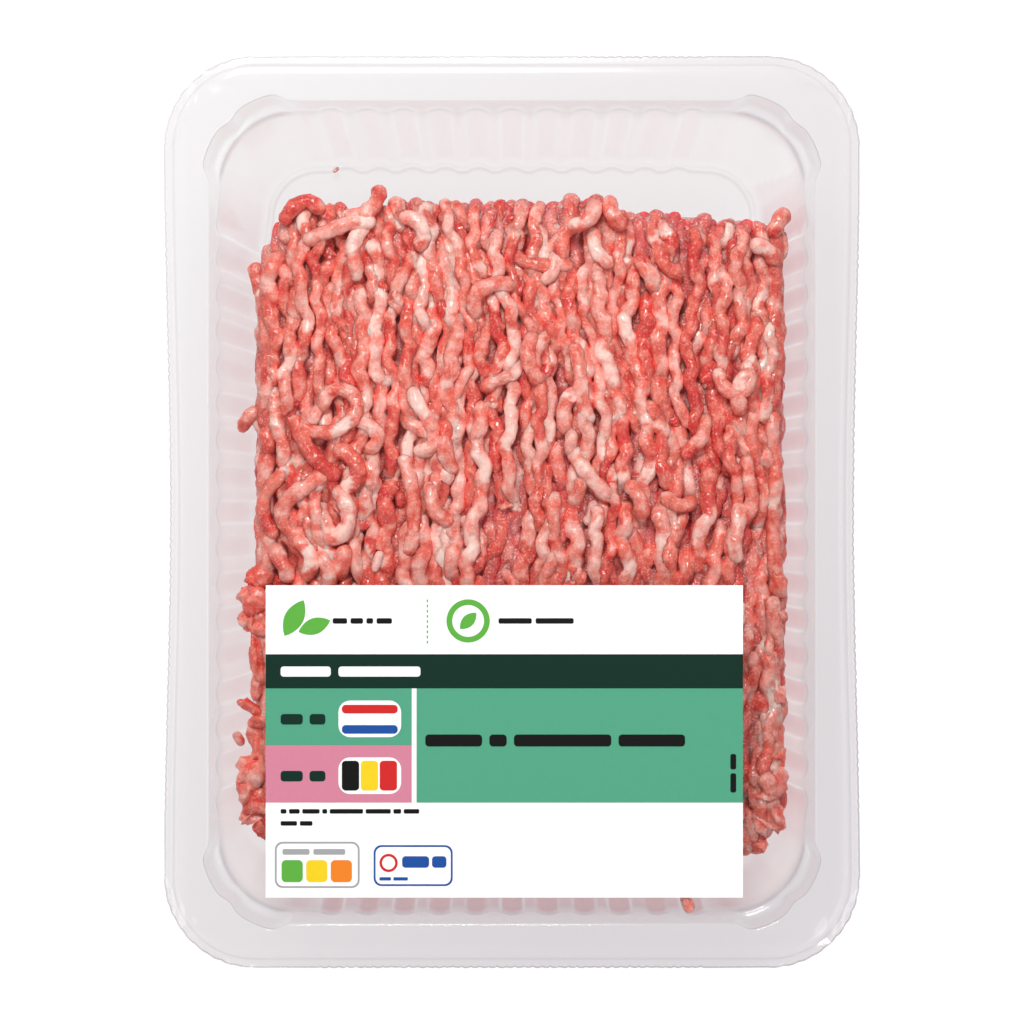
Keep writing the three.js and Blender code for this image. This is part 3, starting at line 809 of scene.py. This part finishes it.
# Bed: a plain row of whole strands from end to end, as the mince was laid first. It shows in
# the gaps of the layers over it.
columns, margin = 36, 1.7
pitch = (right - left - 2 * margin) / (columns - 1)


def column_x(column):
    """X of a column of strands, of which the first and last lie margin inside the heap."""
    return left + margin + pitch * column


layer = []
for column in range(columns - 1):
    x = column_x(column + 0.5)
    top, bottom = span_at(x, 2)
    ys = np.arange(top, bottom, -1.2)
    p = rng.uniform(0, 6.28, 3)
    xs = x + 0.6 * np.sin(0.2 * ys + p[0])
    z = top_height(xs, ys) - 4.2 + 0.5 * np.sin(0.31 * ys + p[1]) + 0.3 * np.sin(0.9 * ys + p[2])
    layer.append(strand(np.stack([xs, ys, z], 1), 1.8, 8, rng.normal(0.35, 0.08)))
gather("mince_bed", layer, meat)

# First layer: columns of strands a strand's width apart, torn into pieces that follow each
# other end to end. Some have sunk deeper than the rest.
layer = []
for column in range(columns):
    x = column_x(column)
    top, bottom = span_at(x)
    y = top - rng.uniform(0, 3.0)
    while y > bottom + 6:
        length = rng.uniform(20, 45) if rng.random() < 0.35 else rng.uniform(45, 110)
        stop = y - length
        if stop < bottom + 8:
            stop = bottom + rng.uniform(0, 3)
        hook = rng.uniform(-1.2, 1.2, 2)
        sink = rng.uniform(0, 0.9) if rng.random() < 0.6 else rng.uniform(1.2, 2.4)
        # Painted light: strands at the right beside the label are paler, against the label's shadow
        fat = rng.normal(0.4, 0.08) + 0.08 * (x > 50)
        layer.append(laid_strand(x, y, stop, sink, rng.uniform(1.35, 1.85), hook, fat))
        y = stop + 0.8
gather("mince_first_layer", layer, meat)

# Second layer: shorter strands that fell over the seams of the first, with gaps between them
# where the first layer shows
layer = []
for column in range(columns - 1):
    x = column_x(column + 0.5)
    top, bottom = span_at(x, 1)
    y = top - rng.uniform(0, 20)
    while y > bottom + 8:
        length = rng.uniform(8, 15) if rng.random() < 0.2 else rng.uniform(18, 62)
        stop = max(bottom + rng.uniform(0, 3), y - length)
        hook = rng.uniform(-1.6, 1.6, 2)
        sink, fat = rng.uniform(-1.3, -0.1), rng.normal(0.49, 0.11)
        layer.append(laid_strand(x, y, stop, sink, rng.uniform(1.25, 1.75), hook, fat))
        y = stop - rng.uniform(-1, 42)
gather("mince_second_layer", layer, meat)

# Curls: the last strands, which dropped on the heap in a tangle at the left and in single hooks
# elsewhere. Start, heading, length, turns in degrees for each part, and lift.
curls = [
    (-46.6, 19.6, -42, 30, (40, 60, 110, 130), 0.9),
    (-33.4, 19.0, 5, 11, (-60, -150), 0.6),
    (-46.0, 20.6, -82, 17, (30, 15), 1.0),
    (-38.0, 13.6, -8, 14, (-60, -130), 1.1),
    (-29.9, 11.2, -90, 6.5, (5,), 0.6),
    (-39.8, 8.8, -118, 21, (-40, 30, 70, 60), 0.8),
    (-37.7, 5.2, -36, 16, (-40, -50, -90), 1.2),
    (-51.3, 27.0, -78, 18, (-5, 12, -45), 0.4),
    (-47.2, 9.6, -140, 18, (10, 50, 40), 0.3),
    (-35.6, -7.0, -80, 7.5, (-50,), 1.0),
    (-50.6, -6.6, -78, 9, (20, -30), 0.8),
    (-47.4, -5.2, -15, 12, (-50, -80), 1.1),
    (-41.4, -8.6, -40, 9, (-70,), 1.3),
    (-21.4, 26.6, -74, 18, (20, -30, -140), 0.9),
    (-13.6, 19.6, -112, 12, (30, 30), 0.8),
    (-17.4, 6.4, -92, 11, (20, 80), 0.6),
    (-23.2, 12.2, -70, 22, (-10, -10, -30), 0.7),
    (-48.8, 61.0, 70, 12, (-40, -120), 0.8),
    (-44.0, 57.0, 30, 16, (-10, -25), 1.2),
    (-36.0, 63.0, -20, 12, (60, 60), 0.9),
    (-24.0, 62.0, 30, 11, (-90, -90), 0.9),
    (0.5, 47.5, 150, 14, (60, 110), 1.1),
    (5.0, 38.0, -130, 12, (50, 40), 1.2),
    (17.0, 66.0, -60, 9, (-80, -60), 1.6),
    (21.0, 67.0, -100, 8, (30, 60), 1.5),
    (27.0, 55.0, -80, 9, (30, -60), 1.0),
    (32.0, 56.0, -110, 8, (60, 60), 1.0),
    (44.0, 30.5, -100, 16, (60, 110, 70), 1.2),
    (52.0, 31.0, -150, 12, (40, 60), 1.0),
    (24.0, 6.0, -20, 9, (-50, -40), 1.0),
    (13.0, 36.0, -70, 18, (-20, 30), 0.8),
    (55.2, 58.6, 70, 6.5, (-25,), 0.9),
    (50.5, 56.5, 15, 8, (-50, -60), 0.9),
    (-53.8, 22.0, -150, 6.4, (30,), -0.8),
    (50.0, 12.0, -95, 15, (20, -60), 0.6),
    (48.0, 2.0, -80, 13, (-30, 60), 0.8),
]
layer = []
for x, y, heading, length, turns, lift in curls:
    flat = walk(np.array((x, y)), heading, length, turns)
    share = np.linspace(0, 1, len(flat))
    z = top_height(*flat.T) - 0.9 + lift
    z = z + 0.9 * np.sin(np.pi * share) - 1.1 * (share - 0.5) ** 2
    path = np.column_stack([flat, z])
    layer.append(strand(path, rng.uniform(1.55, 1.85), 12, rng.uniform(0.4, 0.68)))
for _ in range(34):
    x, y = rng.uniform(left + 8, right - 12), rng.uniform(near + 12, far - 5)
    length = rng.uniform(5, 16)
    turns = rng.uniform(-70, 70, 3)
    flat = walk(np.array((x, y)), -90 + rng.uniform(-25, 25), length, turns)
    share = np.linspace(0, 1, len(flat))
    z = top_height(*flat.T) - 1.3 + rng.uniform(0, 1.0) + 0.8 * np.sin(np.pi * share)
    z = z - 2.2 * (1 - smooth(np.clip(share * 3, 0, 1)))
    path = np.column_stack([flat, z])
    layer.append(strand(path, rng.uniform(1.35, 1.75), 12, rng.uniform(0.35, 0.75)))
gather("mince_curls", layer, meat)

# Nuggets: short bits pressed into the top, two in three of them white fat and the rest deep red
# lean, and a few torn lumps
layer = []
for k in range(80):
    x, y = rng.uniform(left + 3, right - 4), rng.uniform(near + 6, far - 4)
    white_bit = k % 3 > 0
    length = rng.uniform(2.6, 7) if white_bit else rng.uniform(2, 4)
    size = rng.uniform(0.9, 1.4) if white_bit else rng.uniform(1.2, 1.8)
    flat = walk(np.array((x, y)), -90 + rng.uniform(-20, 20), length, (rng.uniform(-30, 30),), 0.4)
    z = top_height(*flat.T) - size - 0.8 + rng.uniform(-0.5, 0.6)
    fat = rng.uniform(0.6, 1.0) if white_bit else rng.uniform(-0.1, 0.1)
    layer.append(strand(np.column_stack([flat, z]), size, 10, fat, rough=0.13))
for k in range(20):
    x, y = rng.uniform(left + 4, right - 5), rng.uniform(near + 8, far - 5)
    at = np.array((x, y, top_height(x, y) - rng.uniform(1.0, 1.8)))
    size = rng.uniform(1.3, 2.0)
    stretch, heading = (1, rng.uniform(0.9, 1.5), 0.8), rng.uniform(-40, 40)
    layer.append(lump(at, size, stretch, heading, rng.choice((0.1, 0.28, 0.48))))
gather("mince_nuggets", layer, meat)

# Sides: strands in rows one over the other down both long sides, pressed together and leaning
# in at the top
layer = []
for side in (-1, 1):
    for row in range(10):
        z0 = floor_z + 1.5 + 3.0 * row
        if z0 > 30.5:
            continue
        top, bottom = span_at(np.array(right - 2.0 if side > 0 else left + 2.0), 0)
        y = top - 2.5 - rng.uniform(0, 5)
        while y > bottom + 4:
            stop = max(bottom, y - rng.uniform(14, 46))
            count = max(6, int((y - stop) / 1.2))
            ys = np.linspace(y, stop, count)
            p = rng.uniform(0, 6.28, 3)
            z = z0 + 0.8 * np.sin(0.12 * ys + p[0]) + 0.5 * np.sin(0.4 * ys + p[1])
            out = np.minimum(-left if side < 0 else right, room_at(z)) - 1.6
            out = out - 0.06 * np.maximum(0, z - 22) ** 1.3 + 0.35 * np.sin(0.3 * ys + p[2])
            path = np.stack([side * out, ys, z], 1)
            layer.append(strand(path, rng.uniform(1.6, 1.9), 8, rng.uniform(0.3, 0.65)))
            y = stop + 0.5
gather("mince_sides", layer, meat, 0.3)

# Tips: the round ends of the strands inside the heap, in rows one over the other at both ends,
# every second row set over by half a strand
layer = []
for end in (1, -1):
    for row in range(10):
        for column in range(columns):
            x = column_x(column + 0.5 * (row % 2)) + rng.uniform(-0.6, 0.6)
            z = floor_z + 1.4 + 3.05 * row + rng.uniform(-0.6, 0.6)
            if abs(x) > room_at(np.array(z)) - 1.5 or z > top_height(x, 60.0) - 2.2:
                continue
            top, bottom = span_at(np.array(x))
            face = top - 1.8 if end > 0 else bottom + 1.8
            reach = rng.uniform(-2.0, 1.4)
            start, heading = np.array((x, face - end * 7)), 90 * end + rng.uniform(-12, 12)
            flat = walk(start, heading, 7 + reach, (rng.uniform(-25, 25),), 1.0)
            path = np.column_stack([flat, z - 0.5 * np.linspace(0, 1, len(flat)) ** 2])
            layer.append(strand(path, rng.uniform(1.5, 1.9), 8, rng.uniform(0.3, 0.65)))
gather("mince_tips", layer, meat, 0.3)

# Bottom layer: strands pressed flat on the tray's raised panel, which show through it from
# below
layer = []
for column in range(34):
    x = -50 + 3.03 * column
    top, bottom = span_at(np.array(x * 1.05 + 1.5), 1.5)
    y = top - rng.uniform(0, 4)
    while y > bottom + 6:
        stop = max(bottom, y - rng.uniform(20, 60))
        ys = np.linspace(y, stop, max(6, int((y - stop) / 2)))
        p = rng.uniform(0, 6.28, 2)
        xs = x + 0.6 * np.sin(0.15 * ys + p[0]) + 0.3 * np.sin(0.5 * ys + p[1])
        path = np.stack([xs, ys, 0 * ys + floor_z + 1.1], 1)
        layer.append(strand(path, 1.75, 8, rng.uniform(0.3, 0.65)))
        y = stop + 0.5
gather("mince_base", layer, meat, 0.3)

# Clumps: torn lumps of mince that lean against the long walls beside the label. Place, size,
# stretch, heading and fat share; each is moved in until it clears the wall.
layer = []
for x, y, z, size, stretch, heading, fat in (
    (-54.4, -14.0, 31.5, 2.5, (1.2, 1.0, 0.8), 30, 0.42),
    (-56.2, -18.0, 31.0, 2.3, (1.1, 1.0, 0.8), -20, 0.62),
    (-54.2, -19.6, 32.0, 2.6, (1.0, 1.3, 0.7), 10, 0.36),
    (-55.9, -22.8, 30.8, 2.0, (1.2, 1.0, 0.7), 60, 0.55),
    (-53.4, -24.2, 31.0, 2.4, (1.0, 1.3, 0.8), -10, 0.5),
    (-54.2, -31.5, 32.0, 2.0, (0.75, 2.4, 0.7), 7, 0.34),
    (-53.6, -36.0, 31.0, 2.0, (0.9, 1.8, 0.8), -6, 0.5),
    (-55.2, -41.6, 32.2, 1.8, (1.9, 0.8, 0.7), -36, 0.3),
    (-53.2, -44.0, 31.6, 2.1, (1.2, 1.2, 0.8), -30, 0.36),
    (-53.8, -50.0, 30.6, 2.3, (1.0, 1.9, 0.8), 10, 0.52),
    (-56.0, -55.2, 31.6, 2.6, (1.1, 1.2, 0.8), 0, 0.46),
    (-53.6, -56.0, 32.0, 2.4, (1.2, 1.0, 0.8), 40, 0.6),
    (-56.6, -60.0, 31.0, 2.6, (0.9, 1.4, 0.8), 8, 0.45),
    (-53.9, -61.6, 31.8, 2.6, (1.0, 1.2, 0.7), -20, 0.34),
    (-55.9, -64.8, 30.2, 2.2, (1.2, 0.9, 0.8), 20, 0.5),
    (-53.0, -67.2, 30.4, 2.3, (1.0, 1.3, 0.8), -30, 0.38),
    (56.4, -14.6, 31.0, 2.1, (0.9, 1.5, 0.8), 5, 0.4),
    (56.6, -22.4, 30.6, 1.9, (1.2, 1.0, 0.8), 30, 0.5),
    (55.4, -30.0, 30.6, 2.2, (0.8, 2.2, 0.7), 4, 0.62),
    (56.8, -38.6, 30.8, 1.8, (0.9, 1.5, 0.8), 10, 0.66),
    (55.0, -46.0, 30.4, 2.3, (0.9, 2.0, 0.7), -5, 0.6),
    (56.4, -52.2, 30.8, 2.0, (1.0, 1.2, 0.8), 20, 0.4),
    (55.6, -57.4, 31.4, 2.7, (1.2, 1.2, 0.8), 30, 0.48),
    (57.4, -59.0, 30.4, 2.0, (1.0, 1.2, 0.8), -20, 0.42),
    (53.4, -60.4, 31.0, 2.4, (1.2, 1.0, 0.8), 10, 0.55),
    (56.4, -64.6, 30.2, 2.3, (0.9, 1.5, 0.8), 10, 0.46),
    (53.0, -66.4, 30.6, 2.0, (1.3, 0.9, 0.8), -30, 0.62),
    (52.0, -70.6, 29.4, 2.0, (1.2, 1.0, 0.8), -40, 0.4),
):
    bit = lump(np.array((x, y, z)), size, stretch, heading, fat)
    spill = np.abs(bit[0][:, 0]).max() - room_at(z - 1.5)
    bit[0][:, 0] -= np.sign(x) * max(0, spill)
    layer.append(bit)
gather("mince_clumps", layer, meat, 0.15)

# Crumbs: one stuck to the left wall, one under the film below the label, and one on the tray's
# panel beyond the heap
layer = []
for x, y, z, heading, size, fat in (
    (-58.6, -46.6, 33, -80, 1.05, 0.45),
    (35.9, -79.4, 46.6, -86, 1.3, 0.72),
    (-39.8, 75.6, 2.5, 20, 0.5, 1.0),
):
    path = walk(np.array((x, y)), heading, 3.2 * size, (40,), 0.3)
    layer.append(strand(np.column_stack([path, 0 * path[:, 0] + z]), size, 12, fat, rough=0.1))
gather("mince_crumbs", layer, meat, 0)
